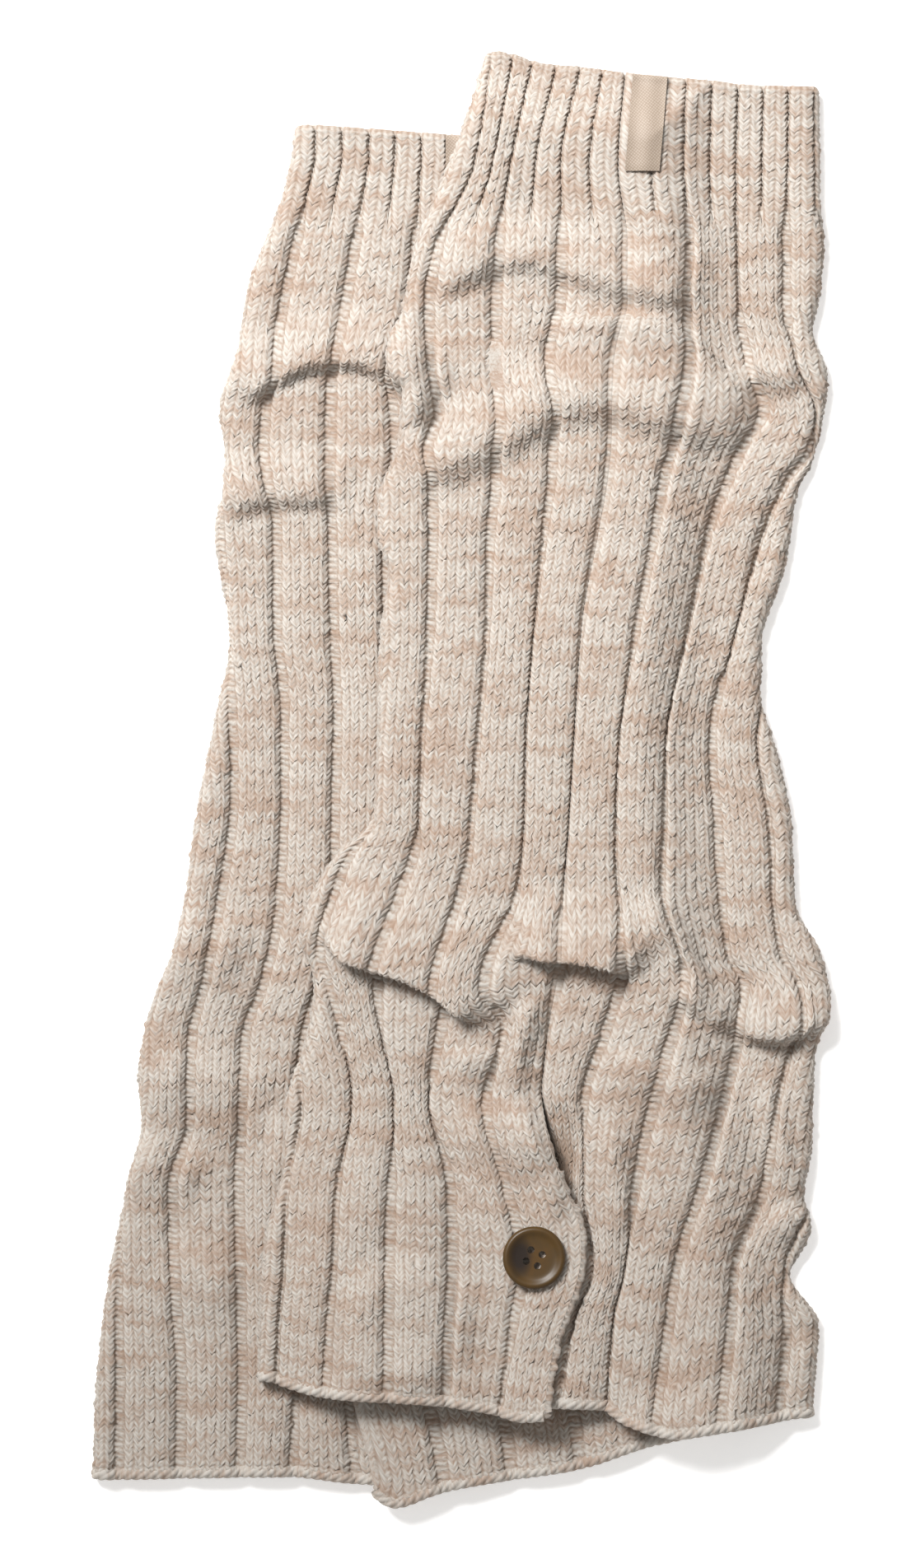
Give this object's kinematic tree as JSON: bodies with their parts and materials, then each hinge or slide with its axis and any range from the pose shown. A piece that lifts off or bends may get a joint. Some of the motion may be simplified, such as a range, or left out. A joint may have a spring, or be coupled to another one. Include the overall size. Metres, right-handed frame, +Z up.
{
  "type": "pair of ribbed knit leg warmers, laid flat",
  "caption": "Pair of slouched rib-knit leg warmers laid flat, one over the other, with narrow-ribbed cuffs, buttoned slits at the hem and blank woven labels.",
  "frame": {"origin": "on the surface that the pair lies on, below the middle of the pair's outline", "axes": "+Y along the leg warmers towards their cuffs, +X to the right as seen from above, +Z up off the surface"},
  "size_m": [0.235, 0.4626, 0.0235],
  "materials": {
    "top_knit": "thick rib knit in a cream and brown marl yarn",
    "top_button": "polished, horn look, brown with smoky patches",
    "top_label": "fine woven tape, pale peach",
    "under_knit": "thick rib knit in a cream and brown marl yarn",
    "under_button": "polished, horn look, brown with smoky patches",
    "under_label": "fine woven tape, pale peach"
  },
  "bodies": {
    "root": {"top_tube": "top_knit", "top_button": "top_button", "top_label": "top_label", "under_tube": "under_knit", "under_button": "under_button", "under_label": "under_label"}
  },
  "joints": []
}
